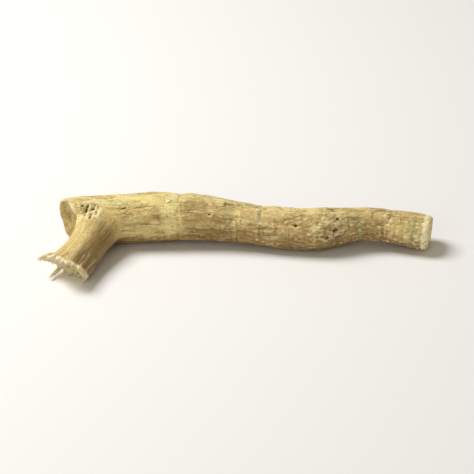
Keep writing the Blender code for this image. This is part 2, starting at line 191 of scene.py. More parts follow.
# The stage, in metres. The camera and the lights point at TARGET, and the camera sees nothing nearer
# than NEAREST_SEEN.
FLOOR_SIZE = 6.0
TARGET = Vector((0.0, 0.0, 0.0075))
KEY_PLACE = Vector((-0.40, 0.14, 0.62))
KEY_SIZE = 0.35
FILL_PLACE = Vector((-0.45, -0.75, 0.40))
FILL_SIZE = 0.60
NEAREST_SEEN = 0.01


def linear(hex_colour):
    """An sRGB hex colour as linear red, green, blue and alpha."""
    parts = [int(hex_colour[k : k + 2], 16) / 255 for k in (1, 3, 5)]
    return (*[p / 12.92 if p <= 0.04045 else ((p + 0.055) / 1.055) ** 2.4 for p in parts], 1.0)


def smooth_step(value, low, high):
    share = np.clip((value - low) / (high - low), 0.0, 1.0)
    return share * share * (3 - 2 * share)


def bell(value, width):
    """1 where value is 0, fading to 0 past the width. Over noise, it is 1 along thin winding lines."""
    return np.exp(-((value / width) ** 2))


def turn_from(degrees, angle):
    """The signed turn from a direction in degrees to an angle in radians, from -pi to pi."""
    return (angle - math.radians(degrees) + math.pi) % (2 * math.pi) - math.pi


class Noise:
    """Smooth noise in three dimensions, from about -1 to 1, the same for the same seed."""

    CELLS = 64

    def __init__(self, seed):
        ways = np.random.default_rng(seed).normal(size=(self.CELLS,) * 3 + (3,))
        self.ways = ways / np.linalg.norm(ways, axis=-1, keepdims=True)

    def __call__(self, points, cell, shift):
        """The noise at points, whose cells measure cell along each axis, in mm.

        Each use has a shift of its own, so that no two patterns are alike.
        """
        points = points / np.array(cell, float) + shift
        low = np.floor(points).astype(int)
        part = points - low
        ease = part**3 * (part * (part * 6 - 15) + 10)
        total = np.zeros(len(points))
        for corner in itertools.product((0, 1), repeat=3):
            way = self.ways[tuple(((low + corner) % self.CELLS).T)]
            weight = np.where(corner, ease, 1 - ease).prod(axis=1)
            total += weight * np.einsum("ij,ij->i", way, part - corner)
        return total * 1.6


def middle_line(route):
    """A smooth curve through a route's points.

    It is given as the distance along it, its places, and the directions ahead, sideways and up there.
    """
    knots = np.array(route, float)
    ends = np.vstack([2 * knots[0] - knots[1], knots, 2 * knots[-1] - knots[-2]])
    t = np.linspace(0, len(knots) - 1, 60 * (len(knots) - 1) + 1)
    first = np.minimum(t.astype(int), len(knots) - 2)
    f = (t - first)[:, None]
    p0, p1, p2, p3 = (ends[first + k] for k in range(4))
    line = 0.5 * (
        2 * p1
        + (p2 - p0) * f
        + (2 * p0 - 5 * p1 + 4 * p2 - p3) * f**2
        + (3 * p1 - p0 - 3 * p2 + p3) * f**3
    )
    steps = np.linalg.norm(np.diff(line, axis=0), axis=1)
    distance = np.concatenate([[0.0], np.cumsum(steps)])
    heading = np.gradient(line, distance, axis=0)
    heading /= np.linalg.norm(heading, axis=1, keepdims=True)
    side = np.cross(heading, (0.0, 0.0, 1.0))
    side /= np.linalg.norm(side, axis=1, keepdims=True)
    return distance, line, heading, side, np.cross(side, heading)


class Straightened:
    """Where points lie on a root, as if it were straight: along, across, round, and under its skin."""

    def __init__(self, route, radii, points, squash=0.0):
        distance, line, heading, side, over = middle_line(route)
        blocks = np.array_split(points, max(1, len(points) // 4000))
        nearest = np.concatenate(
            [((block[:, None] - line[None]) ** 2).sum(-1).argmin(1) for block in blocks]
        )
        away = points - line[nearest]
        self.length = distance[-1]
        self.heading = heading[-1]
        self.along = distance[nearest] + np.einsum("ij,ij->i", away, heading[nearest])
        x = np.einsum("ij,ij->i", away, side[nearest])
        y = np.einsum("ij,ij->i", away, over[nearest])
        self.reach = np.hypot(x, y)
        self.angle = np.arctan2(y, x)
        self.grain = np.stack([self.along, x, y], -1)
        self.radius = np.interp(self.along, *zip(*radii))
        lower = 1 - squash * np.clip(self.along / self.length, 0, 1) * np.sin(self.angle) ** 2
        oval = 0.030 * np.cos(2 * self.angle + self.along / 19.0)
        corners = 0.020 * np.cos(3 * self.angle - self.along / 13.0 + 1.1)
        self.depth = self.radius * lower * (1 + oval + corners) - self.reach


def spot(course, along, angle, reach):
    """The place by a middle line, along it and reach out at an angle, and the ways out and ahead there."""
    distance, line, heading, side, over = course
    k = min(np.searchsorted(distance, along), len(line) - 1)
    out = math.cos(angle) * side[k] + math.sin(angle) * over[k]
    return Vector(line[k] + reach * out + SETTLED), Vector(out), Vector(heading[k])


def tear_edge(angle):
    """How far the tear's edge stands forward at an angle round the side root."""
    return TEAR_SLANT * np.sin(angle) - TEAR_SKEW * np.cos(angle)


class Regions:
    """Where each point lies on both roots, and how far it is on each part of them, from 0 to 1."""

    def __init__(self, points):
        self.main = main = Straightened(MAIN_ROUTE, MAIN_RADII, points)
        self.side = side = Straightened(SIDE_ROUTE, SIDE_RADII, points, SIDE_SQUASH)
        self.on_side = smooth_step(side.depth - main.depth, -1.2, 1.2) * smooth_step(side.along, 2.0, 7.0)
        self.band = bell(main.along - SMOOTH_BAND[0], SMOOTH_BAND[1])
        self.share = main.reach / main.radius
        self.upward = 0.5 + 0.5 * np.sin(main.angle)
        self.slant = CROWN_SLANT * np.cos(main.angle) * self.share
        crown = smooth_step(main.depth, 0.55, 1.10) * (main.along - self.slant < 2.4)
        self.crown = crown * (1 - self.on_side)
        self.tip = smooth_step(main.depth, 0.45, 0.75) * (main.along > main.length + 0.15)
        past = side.along - side.length - tear_edge(side.angle)
        inside = smooth_step(side.depth, 1.0, 1.8) * (past > -4.5)
        self.tear = np.maximum(smooth_step(past, -1.6, -0.2), inside) * self.on_side
        self.faces = np.maximum(np.maximum(self.crown, self.tip), self.tear)


def swayed(noise, root, reach):
    """The grain, pushed round a little, so that wrinkles wander and part and meet again."""
    one = noise(root.grain, (15, 8, 8), 5.0)
    two = noise(root.grain, (15, 8, 8), 25.0)
    return root.grain + reach[:, None] * np.stack([0 * one, one, two], -1)


def wrinkles(noise, root, sizes):
    """Lengthwise wrinkles of two sizes, cross crackle, lumps and a rough tooth."""
    older = smooth_step(root.along, *WRINKLED_FROM)
    grain = swayed(noise, root, 0.5 + 0.5 * older)
    wide = older * bell(noise(grain, (8, 2.0, 2.0), 3.0), 0.18)
    wide += (1 - older) * bell(noise(grain, (16, 2.0, 2.0), 67.0), 0.15)
    wide *= 0.10 + 0.90 * smooth_step(noise(grain, (6, 3.4, 3.4), 31.0), -0.20, 0.35)
    fine = older * bell(noise(grain, (3.2, 1.2, 1.2), 57.0), 0.26)
    fine += (1 - older) * bell(noise(grain, (4.5, 1.0, 1.0), 87.0), 0.26)
    fine *= smooth_step(noise(grain, (5, 3, 3), 17.0), -0.55, 0.15)
    crackle = bell(noise(grain, (1.4, 3.6, 3.6), 13.0), 0.24)
    crackle *= smooth_step(noise(grain, (8, 5, 5), 41.0), 0.20 - 0.30 * older, 0.50 - 0.15 * older)
    tooth = 0.6 * noise(grain, (1.5, 0.95, 0.95), 21.0) + 0.4 * noise(grain, (0.8, 0.6, 0.6), 29.0)
    relief = (
        sizes.lumps * noise(grain, (10, 5, 5), 49.0)
        - sizes.wide * wide
        - sizes.fine * fine
        - sizes.crackle * crackle
        + sizes.tooth * tooth
    ) / MM
    return relief, np.clip(wide + 0.7 * fine, 0, 1), crackle


def ring_cracks(noise, root, cracks):
    """Jagged cracks across the bark, each with a low lip on its crown side."""
    relief = np.zeros(len(root.along))
    opened = np.zeros(len(root.along))
    jag = 0.30 * noise(root.grain, (3.0, 1.7, 1.7), 7.0) + 0.14 * noise(root.grain, (1, 0.7, 0.7), 11.0)
    uneven = smooth_step(noise(root.grain, (9, 2.4, 2.4), 71.0), -0.40, 0.30)
    for place, depth, middle, half_arc in cracks:
        turn = np.degrees(np.abs(turn_from(middle, root.angle)))
        fade = smooth_step(half_arc - turn, 0.0, CRACK_FADE) * (0.15 + 0.85 * uneven)
        away = root.along - place - 0.18 * np.sin(3 * root.angle + place) - jag
        groove = fade * bell(away, CRACK_HALF_WIDTH)
        lip = fade * bell(away + 0.85, 0.55)
        relief += depth * (0.35 * lip - groove)
        opened = np.maximum(opened, groove * min(1.0, depth / 0.24))
    return relief, opened


def pitted(noise, root, pits):
    """Slanted pits with ragged raised rims."""
    relief = np.zeros(len(root.along))
    sunk = np.zeros(len(root.along))
    rims = np.zeros(len(root.along))
    ragged = 0.75 * noise(root.grain, (1.1, 0.9, 0.9), 77.0)
    broken = smooth_step(noise(root.grain, (1.4, 1.1, 1.1), 83.0), -0.35, 0.35)
    for place, degrees, half_length, half_width, slant, depth in pits:
        along = root.along - place
        round_it = root.radius * turn_from(degrees, root.angle)
        c, s = math.cos(math.radians(slant)), math.sin(math.radians(slant))
        out = np.hypot((c * along + s * round_it) / half_length, (c * round_it - s * along) / half_width)
        out += ragged * np.minimum(out, 1.0)
        pit = np.exp(-1.1 * out**2)
        rim = broken * bell(out - 1.8, 0.60)
        relief += depth * (0.32 * rim - pit)
        sunk = np.maximum(sunk, pit)
        rims = np.maximum(rims, rim * min(1.0, depth / 0.5))
    return relief, sunk, rims


def warts(root, patches_of_warts, draw):
    """Corky warts in patches. Some have a dark pore."""
    relief = np.zeros(len(root.along))
    raised = np.zeros(len(root.along))
    pores = np.zeros(len(root.along))
    for place, degrees, spread, spread_round, count in patches_of_warts:
        for _ in range(count):
            along = root.along - (place + draw.normal() * spread * 0.6)
            middle = degrees + draw.normal() * spread_round * 0.6
            size = draw.uniform(0.30, 0.72)
            height = draw.uniform(0.08, 0.22)
            has_pore = draw.random() < 0.45
            near = np.flatnonzero(np.abs(along) < 3 * size)
            round_it = root.radius[near] * turn_from(middle, root.angle[near])
            out = np.hypot(along[near] / 1.2, round_it) / size
            bump = bell(out, 1.0)
            pore = bell(out, 0.42) if has_pore else 0 * out
            relief[near] += height * (bump - 1.5 * pore)
            raised[near] = np.maximum(raised[near], bump)
            pores[near] = np.maximum(pores[near], pore)
    return relief, raised, pores


def patches(root, noise, table, shift):
    """How much each of a table's soft, ragged patches covers."""
    total = np.zeros(len(root.along))
    ragged = 0.45 * noise(root.grain, (2.6, 1.6, 1.6), shift)
    ragged += 0.25 * noise(root.grain, (1.0, 0.8, 0.8), shift)
    for place, degrees, reach, half_arc, strength in table:
        along = (root.along - place) / reach
        turn = np.degrees(turn_from(degrees, root.angle)) / half_arc
        cover = smooth_step(1 - np.hypot(along, turn) + ragged, -0.05, 0.40)
        total = np.maximum(total, strength * cover)
    return total


def read_points(mesh):
    """The mesh's points, in the drawing's millimetres."""
    flat = np.empty(3 * len(mesh.vertices))
    mesh.vertices.foreach_get("co", flat)
    return flat.reshape(-1, 3) / MM - SETTLED


def read_normals(mesh):
    flat = np.empty(3 * len(mesh.vertices), np.float32)
    mesh.vertex_normals.foreach_get("vector", flat)
    return flat.reshape(-1, 3).astype(float)


def write_points(mesh, points):
    """Puts the mesh's points back, none of them under the surface that the root lies on."""
    placed = (points + SETTLED) * MM
    placed[:, 2] = placed[:, 2].clip(0.0)
    mesh.vertices.foreach_set("co", placed.ravel())
    mesh.update()


def hollowness(mesh, passes):
    """How far each point lies below the mean of what is round it, in mm. Ridges are negative."""
    pairs = np.empty(2 * len(mesh.edges), np.int32)
    mesh.edges.foreach_get("vertices", pairs)
    one, other = pairs.reshape(-1, 2).T
    counts = np.bincount(pairs, minlength=len(mesh.vertices)).clip(1)
    points = read_points(mesh)
    mean = points.copy()
    for _ in range(passes):
        for axis in range(3):
            total = np.bincount(one, mean[other, axis], len(mean))
            total += np.bincount(other, mean[one, axis], len(mean))
            mean[:, axis] = 0.5 * mean[:, axis] + 0.5 * total / counts
    return np.einsum("ij,ij->i", mean - points, read_normals(mesh))


def soften(mesh, share, passes):
    """Draws each point towards the mean of what is round it, along its normal, by its own share."""
    normals = read_normals(mesh)
    write_points(mesh, read_points(mesh) + normals * (share * hollowness(mesh, passes))[:, None])


def store(mesh, name, values):
    """Keeps a value for each point, for the material to read."""
    kind, field = ("FLOAT", "value") if values.ndim == 1 else ("FLOAT_VECTOR", "vector")
    layer = mesh.attributes.new(name, kind, "POINT")
    layer.data.foreach_set(field, values.astype(np.float32).ravel())


def select_only(piece):
    bpy.ops.object.select_all(action="DESELECT")
    piece.select_set(True)
    bpy.context.view_layer.objects.active = piece


def apply_modifier(piece, kind, **settings):
    modifier = piece.modifiers.new(kind.lower(), kind)
    for name, value in settings.items():
        setattr(modifier, name, value)
    select_only(piece)
    bpy.ops.object.modifier_apply(modifier=modifier.name)


def skin_over(node, name, cell, passes):
    """A fine, even skin over a CAD node: its mesh is copied, merged, remeshed and smoothed."""
    piece = bpy.data.objects.new(name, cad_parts[node].data.copy())
    bpy.context.scene.collection.objects.link(piece)
    piece.data.materials.clear()
    select_only(piece)
    bpy.ops.object.mode_set(mode="EDIT")
    bpy.ops.mesh.select_all(action="SELECT")
    bpy.ops.mesh.remove_doubles(threshold=0.001 * MM)
    bpy.ops.object.mode_set(mode="OBJECT")
    apply_modifier(piece, "REMESH", mode="VOXEL", voxel_size=cell)
    apply_modifier(piece, "SMOOTH", factor=0.5, iterations=passes)
    return piece


def add(tree, kind, inputs=None, output=0, **settings):
    """Adds a node with its settings and links, and gives one of its outputs.

    Each input is a value, or another node's output.
    """
    node = tree.nodes.new(kind)
    for name, value in settings.items():
        setattr(node, name, value)
    for name, value in (inputs or {}).items():
        if isinstance(value, bpy.types.NodeSocket):
            tree.links.new(value, node.inputs[name])
        else:
            node.inputs[name].default_value = value
    return node.outputs[output] if node.outputs else None


def layered(tree, colour, layers):
    """The colour with others laid over it in turn.

    Each covers it more, up to its most, as the value that it follows goes from low to high.
    """
    for value, low, high, most, over in layers:
        limits = {"Value": value, "From Min": low, "From Max": high, "To Max": most}
        cover = add(tree, "ShaderNodeMapRange", limits, interpolation_type="SMOOTHSTEP")
        colour = add(tree, "ShaderNodeMix", {0: cover, 6: colour, 7: over}, 2, data_type="RGBA")
    return colour


def speckle(tree, place, size, detail=2.0, along=1.0):
    """Noise from 0 to 1 whose features measure size, and along times that along the grain."""
    scaled = (1 / (size * along), 1 / size, 1 / size)
    mapped = add(tree, "ShaderNodeMapping", {"Vector": place, "Scale": scaled})
    inputs = {"Vector": mapped, "Scale": 1.0, "Detail": detail, "Roughness": 0.55}
    return add(tree, "ShaderNodeTexNoise", inputs)


def new_material(name):
    """An empty material, its tree, and each point's place in millimetres."""
    material = bpy.data.materials.new(name)
    material.use_nodes = True
    tree = material.node_tree
    tree.nodes.clear()
    place = add(tree, "ShaderNodeTexCoord", output="Object")
    in_mm = add(tree, "ShaderNodeMapping", {"Vector": place, "Scale": (1 / MM,) * 3})
    return material, tree, in_mm


def finish_shader(tree, colour, roughness, specular, height, rise):
    """The shader and its output. rise is how far the surface stands up where height is 1."""
    tooth = add(tree, "ShaderNodeBump", {"Strength": 1.0, "Distance": rise, "Height": height})
    inputs = {
        "Base Color": colour,
        "Roughness": roughness,
        "Specular IOR Level": specular,
        "Normal": tooth,
    }
    shader = add(tree, "ShaderNodeBsdfPrincipled", inputs)
    add(tree, "ShaderNodeOutputMaterial", {"Surface": shader})


def bark_material(tints, names):
    """Air-dried root bark, worn by rubbing and cut by hand. names are those of the marks kept for it.

    The bark is thin, corky and dusty, so it is matt all over. Its ridges are worn by rubbing to pale straw
    and carry a painted highlight, its furrows are brown with dust and painted shade, its low sides
    carry painted shade, and where a knife or a break went through it the starchy flesh is cream.
    """
    material, tree, in_mm = new_material("dried_bark")
    mark = {name: add(tree, "ShaderNodeAttribute", output="Fac", attribute_name=name) for name in names}
    grains = [
        add(tree, "ShaderNodeAttribute", output="Vector", attribute_name=name)
        for name in ("grain", "side_grain")
    ]
    cloud = speckle(tree, in_mm, 5.0, 3.0, 1.6)
    # Real crumbs and flecks of cork are finer than would show, so they are drawn half a millimetre wide.
    crumb = speckle(tree, in_mm, 0.55, 3.0)
    fleck = speckle(tree, in_mm, 0.62, 4.0)

    # Streaks and hairs are drawn out along each root's own grain, and mixed where the roots meet.
    streak, hair = (
        add(
            tree,
            "ShaderNodeMix",
            {0: mark["on_side"], 2: speckle(tree, grains[0], *size), 3: speckle(tree, grains[1], *size)},
        )
        for size in ((0.9, 4.0, 9.0), (0.33, 3.0, 7.0))
    )

    # Some patches are crazed into small long scales, 2.3 by 0.95 mm.
    swing = {0: crumb.node.outputs["Color"], 1: (1.4, 0.7, 0.7), 2: grains[0]}
    shifted = add(tree, "ShaderNodeVectorMath", swing, operation="MULTIPLY_ADD")
    scale = {"Vector": shifted, "Scale": (1 / 2.3, 1 / 0.95, 1 / 0.95)}
    scales = add(tree, "ShaderNodeMapping", scale)
    inputs = {"Vector": scales, "Scale": 1.0}
    from_edge = add(tree, "ShaderNodeTexVoronoi", inputs, "Distance", feature="DISTANCE_TO_EDGE")
    near_edge = {"Value": from_edge, "From Min": 0.10, "From Max": 0.02}
    edge = add(tree, "ShaderNodeMapRange", near_edge, interpolation_type="SMOOTHSTEP")
    cloudy = {"Value": cloud, "From Min": 0.44, "From Max": 0.60}
    whole = add(tree, "ShaderNodeMapRange", cloudy, interpolation_type="SMOOTHSTEP")
    patch = add(tree, "ShaderNodeMath", {0: whole, 1: mark["bare"]}, operation="SUBTRACT", use_clamp=True)
    crazed = add(tree, "ShaderNodeMath", {0: edge, 1: patch}, operation="MULTIPLY")

    # Dust, wear and the worn rim end in crumbs, not in a soft fade.
    crumble = add(tree, "ShaderNodeMath", {0: crumb, 1: 1.2, 2: -0.6}, operation="MULTIPLY_ADD")
    ragged = {
        name: add(tree, "ShaderNodeMath", {0: mark[name], 1: crumble}, operation="ADD")
        for name in ("dusk", "dust", "flaked", "raised", "chalk", "rim_specks")
    }

    # Painted shade darkens the low sides further, in streaks.
    painted_shade_streaks = add(tree, "ShaderNodeMath", {0: mark["under"], 1: streak}, operation="MULTIPLY")

    # The crown half and the side root are younger, and their furrows, brown with dust and painted shade,
    # are less dark.
    deep, crease, thin = (
        add(tree, "ShaderNodeMath", {0: mark["age"], 1: most}, operation="MULTIPLY")
        for most in (0.82, 0.46, 0.60)
    )
    layers = [
        (mark["tipward"], 0.0, 1.0, 0.85, tints.grey_bark),
        (cloud, 0.46, 0.66, 0.55, tints.tan),
        (streak, 0.50, 0.68, 0.55, tints.straw),
        # Pale patches, some of them a painted highlight along the top, and painted light on the side
        # root's lit side.
        (mark["pale"], 0.0, 1.0, 0.90, tints.straw),
        (ragged["dusk"], 0.0, 0.9, 0.75, tints.dusk),
        (ragged["dust"], 0.1, 0.9, 0.80, tints.dust),
        (ragged["flaked"], 0.3, 0.7, 0.70, tints.flaked),
        (hair, 0.54, 0.70, 0.50, tints.furrow),
        # Painted shade: the underside colour over the faces that turn down and the side root's dark side,
        # with darker streaks in it.
        (mark["under"], 0.0, 1.0, 0.72, tints.under),
        (painted_shade_streaks, 0.40, 0.60, 0.55, tints.crack),
        # The ridges' cream is partly wear and partly a painted highlight; the brown in hollows and creases
        # is partly dust and partly painted shade.
        (mark["ridge"], 0.01, 0.14, 0.46, tints.worn_pale_and_highlight),
        (mark["hollow"], 0.02, 0.18, deep, tints.furrow),
        (mark["crease"], 0.25, 1.0, crease, tints.furrow),
        (mark["crack"], 0.20, 0.9, 0.45, tints.crack),
        (crumb, 0.60, 0.72, 0.60, tints.speck),
        (fleck, 0.62, 0.74, 0.38, tints.worn_pale_and_highlight),
        (crazed, 0.0, 1.0, thin, tints.furrow),
        (ragged["raised"], 0.25, 0.9, 0.75, tints.worn_pale_and_highlight),
        (crumb, 0.52, 0.66, 0.30, tints.tan),
        (ragged["chalk"], 0.25, 0.65, 0.84, tints.chalk),
        (ragged["rim_specks"], 0.95, 1.10, 0.75, tints.speck),
        (mark["pit"], 0.25, 0.85, 0.95, tints.crack),
        (mark["stump"], 0.2, 0.8, 1.0, tints.stump),
        (mark["slice"], 0.3, 0.7, 1.0, tints.slice),
        (mark["slice_ring"], 0.2, 0.8, 1.0, tints.slice_ring),
        (mark["tear"], 0.2, 0.8, 1.0, tints.bast),
        (mark["core"], 0.2, 0.8, 0.75, tints.core),
        (mark["cut_shade"], 0.2, 0.9, 0.80, tints.furrow),
    ]
    colour = layered(tree, tints.bark, layers)
    polish = {"Value": streak, "From Min": 0.3, "From Max": 0.7, "To Min": 0.92, "To Max": 0.76}
    rough = add(tree, "ShaderNodeMapRange", polish, interpolation_type="SMOOTHSTEP")
    fibrous = add(tree, "ShaderNodeMath", {0: mark["tear"], 1: 1.6, 2: 0.8}, operation="MULTIPLY_ADD")
    rise = add(tree, "ShaderNodeMath", {0: hair, 1: fibrous, 2: crumb}, operation="MULTIPLY_ADD")
    rise = add(tree, "ShaderNodeMath", {0: crazed, 1: -0.7, 2: rise}, operation="MULTIPLY_ADD")
    finish_shader(tree, colour, rough, 0.30, rise, 0.20 * MM)
    return material


def bast_material(tints):
    """Torn inner bark: dry, flat bundles of fibre, pale as straw and a little silky."""
    material, tree, in_mm = new_material("torn_bast")
    tone = speckle(tree, in_mm, 1.1)
    fibre = speckle(tree, in_mm, 0.25)
    layers = [(tone, 0.42, 0.66, 0.8, tints.worn_pale_and_highlight), (fibre, 0.52, 0.70, 0.4, tints.tan)]
    colour = layered(tree, tints.bast, layers)
    silky = {"Value": tone, "From Min": 0.3, "From Max": 0.7, "To Min": 0.8, "To Max": 0.6}
    rough = add(tree, "ShaderNodeMapRange", silky, interpolation_type="SMOOTHSTEP")
    finish_shader(tree, colour, rough, 0.35, fibre, 0.03 * MM)
    return material


def flake_material(tints):
    """Lifted outer bark: papery dry cork, matt and tan, with brown crumbs on it."""
    material, tree, in_mm = new_material("lifted_bark")
    tone = speckle(tree, in_mm, 0.8)
    crumb = speckle(tree, in_mm, 0.3)
    layers = [(tone, 0.42, 0.66, 0.5, tints.grey_bark), (crumb, 0.50, 0.64, 0.6, tints.furrow)]
    finish_shader(tree, layered(tree, tints.tan, layers), 0.9, 0.25, crumb, 0.06 * MM)
    return material


def paper_material(tints):
    """Seamless studio paper: a matt, even off-white, its grain drawn coarser than it is to show."""
    material, tree, in_mm = new_material("studio_paper")
    finish_shader(tree, tints.paper, 0.95, 0.2, speckle(tree, in_mm, 0.6), 0.01 * MM)
    return material


def even_out(mesh, at, softness):
    """Softens the solid's coarse relief, most on the smooth band and the side root."""
    main, side = at.main, at.side
    from_ends = np.minimum(main.along - CROWN_MARGIN, main.length - TIP_MARGIN - main.along)
    from_tear = side.length - TEAR_MARGIN - side.along
    clear = smooth_step(np.where(side.depth > main.depth, from_tear, from_ends), 0.0, MARGIN_FADE)
    clear *= smooth_step(read_points(mesh)[:, 2] + SETTLED[2], 0.2, 1.2)
    smoothest = np.maximum(at.band, at.on_side)
    soften(mesh, (softness + (0.95 - softness) * smoothest) * clear, 60)


def bark_relief(noise, points, at, sizes):
    """The bark's relief in mm, and the marks that follow it."""
    main, side, on_side = at.main, at.side, at.on_side
    main_relief, main_crease, main_crackle = wrinkles(noise, main, sizes)
    side_relief, side_crease, side_crackle = wrinkles(noise, side, sizes)
    main_relief *= 1 - 0.6 * at.band
    fray = smooth_step(side.along, 14.0, side.length) * bell(noise(side.grain, (9, 1.5, 1.5), 37.0), 0.26)
    side_relief = 0.34 * side_relief - 0.14 * fray
    crack_relief, crack = ring_cracks(noise, main, RING_CRACKS)
    pit_relief, pit, rim = pitted(noise, main, PITS)
    wart_relief, wart, pore = warts(main, WART_PATCHES, np.random.default_rng(SEED))
    flaked = patches(main, noise, FLAKED_PATCHES, 9.0)
    main_relief += crack_relief - sizes.flake / MM * smooth_step(flaked, 0.3, 0.5)

    # The worn rim is chipped, least on top.
    on_rim = smooth_step(main.along - main.length, -3.2, -1.6) * (1 - at.tip)
    chipped = bell(noise(points, 1.5, 51.0), 0.20) + 0.8 * smooth_step(noise(points, 1.1, 53.0), 0.2, 0.5)
    main_relief -= (0.19 - 0.11 * at.upward) * on_rim * chipped

    near_main = smooth_step(main.depth, -4.0, -2.5)
    relief = (1 - on_side) * main_relief + on_side * side_relief + near_main * (pit_relief + wart_relief)
    scarred = near_main * (1 - at.faces)
    crown_edge = bell(main.along - at.slant - 0.4, 0.55) * (main.depth < 1.2) * (1 - on_side)
    return relief, {
        # The creases take the furrow brown, partly dust and partly painted shade.
        "crease": ((1 - on_side) * main_crease + on_side * side_crease) * (1 - at.faces),
        "crack": np.maximum(crack * (1 - on_side), 0.45 * (main_crackle + side_crackle * on_side)),
        "pit": np.maximum(pit, pore) * scarred,
        "raised": np.maximum(np.maximum(0.9 * wart, rim) * scarred, crown_edge),
        "flaked": smooth_step(flaked, 0.25, 0.6) * (1 - on_side),
    }


def face_relief(noise, points, at):
    """The relief of the crown's and the tip's cut faces in mm, and the marks that follow it."""
    main, share = at.main, at.share

    # The crown was cut long ago: it is rough, with growth rings, drying checks and a sunk pith.
    rough = 0.20 * noise(points, 1.6, 3.0) + 0.14 * noise(points, 0.8, 5.0)
    rings = np.cos(40 * share + 2.2 * noise(main.grain, (30, 3, 3), 91.0))
    checks = bell(np.sin(4 * main.angle + 3.2 * noise(main.grain, (50, 3, 3), 97.0)), 0.09)
    checks *= smooth_step(share, 0.16, 0.30)
    pith = smooth_step(0.20 - share + 0.10 * noise(main.grain, (30, 1.2, 1.2), 99.0), 0.0, 0.08)
    crown = rough + 0.09 * rings - (0.45 * checks + 0.5 * pith)

    # The tip was cut clean: it has short cracks like spokes, and a ring between the wood and the bark.
    spokes = bell(np.sin(7 * main.angle + 2.2 * noise(main.grain, (50, 3, 3), 61.0)), 0.42)
    spokes *= smooth_step(share, 0.14, 0.30) * smooth_step(0.86 - share, 0.0, 0.2)
    spokes *= smooth_step(noise(main.grain, (50, 2.2, 2.2), 63.0), -0.30, 0.30)
    ring = bell(share - 0.64 - 0.05 * noise(main.grain, (50, 3, 3), 65.0), 0.055)
    tip = 0.06 * noise(points, 0.9, 2.0) - 0.20 * spokes - 0.08 * ring

    bark_ring = smooth_step(share, 0.72, 0.78) * smooth_step(0.90 - share, 0.0, 0.06)
    return at.crown * crown + at.tip * tip, {
        "stump": at.crown,
        "slice": at.tip,
        "slice_ring": at.tip * np.maximum(0.8 * bark_ring, ring),
        "cut_shade": np.maximum(at.tip * spokes, at.crown * np.maximum(0.8 * checks, pith)),
    }


def tone_marks(noise, points, normals, at):
    """The marks of age, dust and wear, with painted shade on the low sides and painted light on the side
    root. points and normals are those from before the relief.
    """
    main, side, on_side = at.main, at.side, at.on_side
    on_main = 1 - on_side
    rag = noise(points, 1.1, 15.0) + 0.6 * noise(points, 0.6, 19.0)
    tipward = smooth_step(main.along, *DULLER_FROM) * on_main

    chalk = smooth_step(main.along - (main.length - CHALK_REACH), -0.7, 0.8)
    chalk += 0.55 * rag * (1.15 - at.upward)
    chalk += 0.34 * at.upward * noise(main.grain, (2.8, 0.45, 0.45), 85.0)
    chalk *= main.along > main.length - 5

    # Painted shade darkens the faces that turn downwards, more on the tip half, and the side root's dark
    # side; painted light makes the side root's lit side paler.
    under = smooth_step(-normals[:, 2] + 0.22 * rag + 0.44 * tipward, -0.11, 0.86)
    dark = smooth_step(turn_from(SIDE_DARK, side.angle) ** 2, 1.3, 0.2)
    dark *= on_side * smooth_step(side.along, 6.0, 12.0) * smooth_step(2.0 - at.tear * 9, 0.0, 2.0)
    lit = bell(turn_from(SIDE_LIT, side.angle), 0.7)
    lit *= on_side * smooth_step(side.along, 8.0, 14.0)
    return {
        "on_side": on_side,
        "tipward": tipward,
        "age": 0.50 + 0.27 * tipward - 0.20 * np.maximum(on_side, at.band),
        "bare": np.maximum(np.maximum(at.faces, chalk), 0.65 * np.maximum(on_side, at.band)).clip(0, 1),
        # Pale patches, some of them a painted highlight along the top, and painted light on the side
        # root's lit side.
        "pale": np.maximum(patches(main, noise, PALE_AND_HIGHLIGHT_PATCHES, 1.0) * on_main, 0.35 * lit),
        "dusk": patches(main, noise, DUSK_PATCHES, 2.0) * on_main + 0.38 * on_side,
        "dust": patches(main, noise, DUST_PATCHES, 3.0) * on_main,
        # Painted shade on the faces that turn downwards and on the side root's dark side.
        "under": np.maximum(under, 0.92 * dark),
        "chalk": chalk * (1 - at.tip),
        "rim_specks": smooth_step(chalk, 0.2, 0.6) * smooth_step(0.45 - np.sin(main.angle), 0.0, 0.5),
        "tear": at.tear,
        "core": at.tear * smooth_step(side.depth, 2.0, 3.6) * smooth_step(rag, -0.6, 0.4),
    }


def shape_bark(mesh, sizes):
    """Works the relief into the skin, keeps each point's marks, and gives the marks' names."""
    noise = Noise(SEED)
    at = Regions(read_points(mesh))
    even_out(mesh, at, sizes.softness)
    points, normals = read_points(mesh), read_normals(mesh)
    bark, marks = bark_relief(noise, points, at, sizes)
    cut, cut_marks = face_relief(noise, points, at)
    settled = smooth_step(points[:, 2] + SETTLED[2], 0.0, 0.5)
    relief = (1 - at.faces) * bark * (0.25 + 0.75 * settled) + cut
    torn = at.side.grain * (0.0, 1.0, 1.0)
    spikes = 0.70 * noise(torn, (1, 1.1, 1.1), 33.0) + 0.55 * noise(torn, (1, 0.6, 0.6), 45.0)
    write_points(mesh, points + normals * relief[:, None] + at.side.heading * (at.tear * spikes)[:, None])
    dip, broad = hollowness(mesh, 10), hollowness(mesh, 70)
    marks |= cut_marks | tone_marks(noise, points, normals, at)
    # Painted light and shade from the relief: the ridges are partly worn pale and partly a painted
    # highlight, and the hollows partly dust and partly painted shade.
    marks["ridge"] = np.clip(-dip - 0.25 * broad, 0, 1) * (1 - at.faces)
    marks["hollow"] = np.clip(dip + 0.30 * broad, 0, 1) * (1 - at.faces)
    marks["cut_shade"] = np.maximum(marks["cut_shade"], 0.6 * at.tear * smooth_step(dip, 0.05, 0.25))
    for name, values in marks.items():
        store(mesh, name, values)
    store(mesh, "grain", at.main.grain)
    store(mesh, "side_grain", at.side.grain)
    return list(marks)


